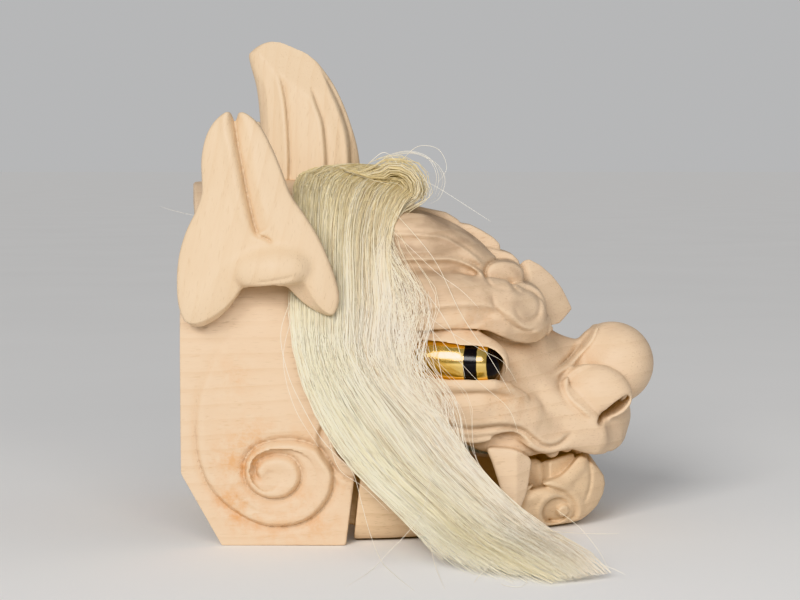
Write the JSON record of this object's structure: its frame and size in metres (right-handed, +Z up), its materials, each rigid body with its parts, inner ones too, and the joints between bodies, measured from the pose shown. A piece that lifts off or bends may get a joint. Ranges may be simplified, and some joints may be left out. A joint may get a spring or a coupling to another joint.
{
  "type": "carved wooden lion dance head",
  "caption": "Hollow carved wooden lion head with a hinged lower jaw, a fluted horn, leaf-shaped ears, gilt eyes and a horsehair mane laid over the crown.",
  "frame": {"origin": "on the ground, under the middle of the object's box", "axes": "+X the way the lion looks, +Y its left side and the axis the jaw turns about, +Z up"},
  "size_m": [0.288, 0.41, 0.2995],
  "materials": {
    "carved_wood": "bare carved softwood, sanded smooth, no varnish",
    "dowel_wood": "plain turned dowel",
    "gilt": "mirror-bright gold with a black ring and a black pupil",
    "horsehair": "long straight natural hair, ivory with a green-yellow cast, slight sheen"
  },
  "bodies": {
    "head": {"upper_head": "carved_wood", "jaw_rod": "dowel_wood", "horn": "carved_wood", "right_ear": "carved_wood", "left_ear": "carved_wood", "right_eye": "gilt", "left_eye": "gilt", "mane": "horsehair"},
    "jaw": {"lower_jaw": "carved_wood"}
  },
  "joints": [
    {"name": "jaw_hinge", "type": "hinge", "parent": "head", "child": "jaw", "pos_m": [-0.1065, 0, 0.024], "axis": [0, 1, 0], "range_deg": [0, 25]}
  ]
}
